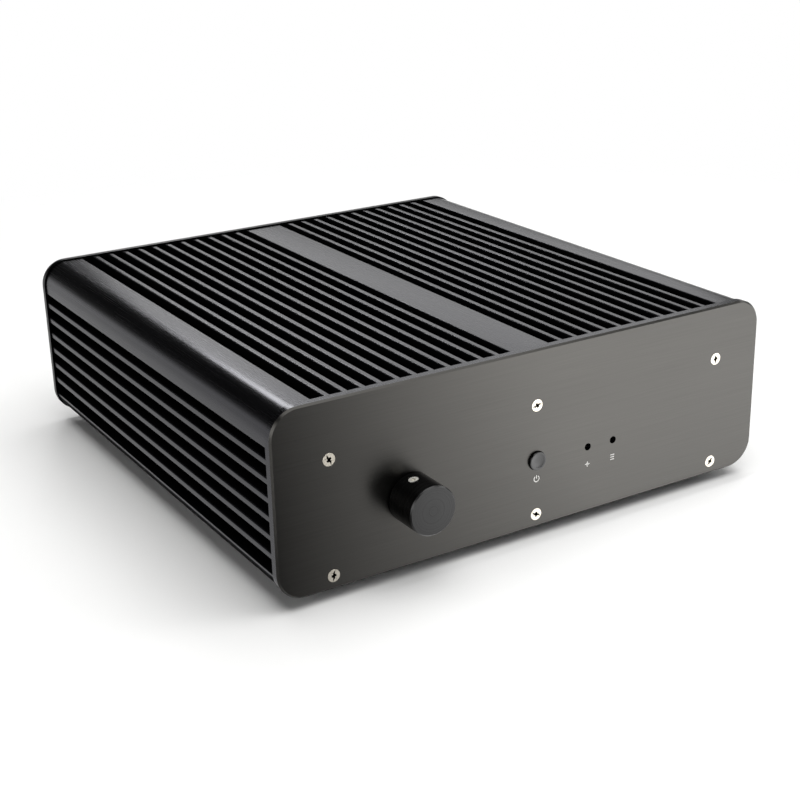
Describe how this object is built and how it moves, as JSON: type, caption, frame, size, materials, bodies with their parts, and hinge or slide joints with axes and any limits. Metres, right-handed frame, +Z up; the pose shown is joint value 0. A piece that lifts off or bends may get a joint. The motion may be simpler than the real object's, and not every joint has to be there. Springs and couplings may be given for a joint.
{
  "type": "mini pc case",
  "caption": "Low fanless computer case: finned extruded body, thick front panel with volume knob and push button, heat pipes inside and a rear opening for the board's ports.",
  "frame": {"origin": "on the surface that the feet stand on, in the middle of the outer box, midway between the sides and midway from the knob's face to the power inlet's flange", "axes": "+X to the right seen from the front, +Y from the front panel to the rear panel, +Z up"},
  "size_m": [0.24, 0.2614, 0.083],
  "materials": {
    "anodised_body": "black anodised extrusion with sawn and brushed faces",
    "brushed_panel": "black anodised, fine brushed along its width",
    "turned_knob": "black anodised, turned, satin",
    "black_base": "fine black powder coat",
    "rubber_foot": "matt black rubber",
    "nickel_screw": "bright nickel plate",
    "brass_standoff": "turned brass",
    "plated_bush": "dull nickel plate",
    "anodised_button": "black anodised, polished dish",
    "black_plastic": "moulded black nylon",
    "indicator_lens": "dark clear epoxy lens",
    "tinned_lead": "tinned wire",
    "board_laminate": "green solder mask on glass laminate",
    "milled_aluminium": "bare milled aluminium",
    "steel_bracket": "zinc plated sheet",
    "copper_pipe": "bare copper, satin"
  },
  "bodies": {
    "case": {"body_extrusion": "anodised_body", "front_panel": "brushed_panel", "rear_panel": "brushed_panel", "base_plate": "black_base", "centre_block": "milled_aluminium", "foot_front_left": "rubber_foot", "foot_front_right": "rubber_foot", "foot_rear_left": "rubber_foot", "foot_rear_right": "rubber_foot", "foot_screws": "nickel_screw", "base_screws": "nickel_screw", "front_panel_screws": "nickel_screw", "rear_panel_screws": "nickel_screw", "board_standoffs": "brass_standoff", "encoder_housing": "black_plastic", "encoder_bush": "plated_bush", "encoder_washer": "plated_bush", "encoder_nut": "plated_bush", "encoder_board": "board_laminate", "power_switch": "black_plastic", "power_indicator": "indicator_lens", "drive_indicator": "indicator_lens", "indicator_leads": "tinned_lead", "control_board": "board_laminate", "control_board_studs": "brass_standoff", "control_board_screws": "nickel_screw", "board_sockets": "black_plastic", "power_inlet": "black_plastic", "power_inlet_nut": "plated_bush", "cold_plate": "milled_aluminium", "pipe_cap": "milled_aluminium", "cpu_bracket": "steel_bracket", "cpu_block_screws": "nickel_screw", "heat_pipe_1": "copper_pipe", "heat_pipe_2": "copper_pipe", "heat_pipe_3": "copper_pipe", "heat_pipe_4": "copper_pipe", "roof_spreader": "milled_aluminium", "pipe_clamp": "milled_aluminium", "pipe_clamp_screws": "nickel_screw"},
    "knob": {"volume_knob": "turned_knob", "knob_grub_screw": "nickel_screw", "encoder_shaft": "plated_bush"},
    "button": {"power_button": "anodised_button", "switch_plunger": "black_plastic"}
  },
  "joints": [
    {"name": "knob_turn", "type": "hinge", "parent": "case", "child": "knob", "pos_m": [-0.0607, -0.12225, 0.0348], "axis": [0, 1, 0], "continuous": true},
    {"name": "button_press", "type": "slide", "parent": "case", "child": "button", "axis": [0, 1, 0], "range_m": [0, 0.0008], "stiffness_N_per_m": 400}
  ]
}
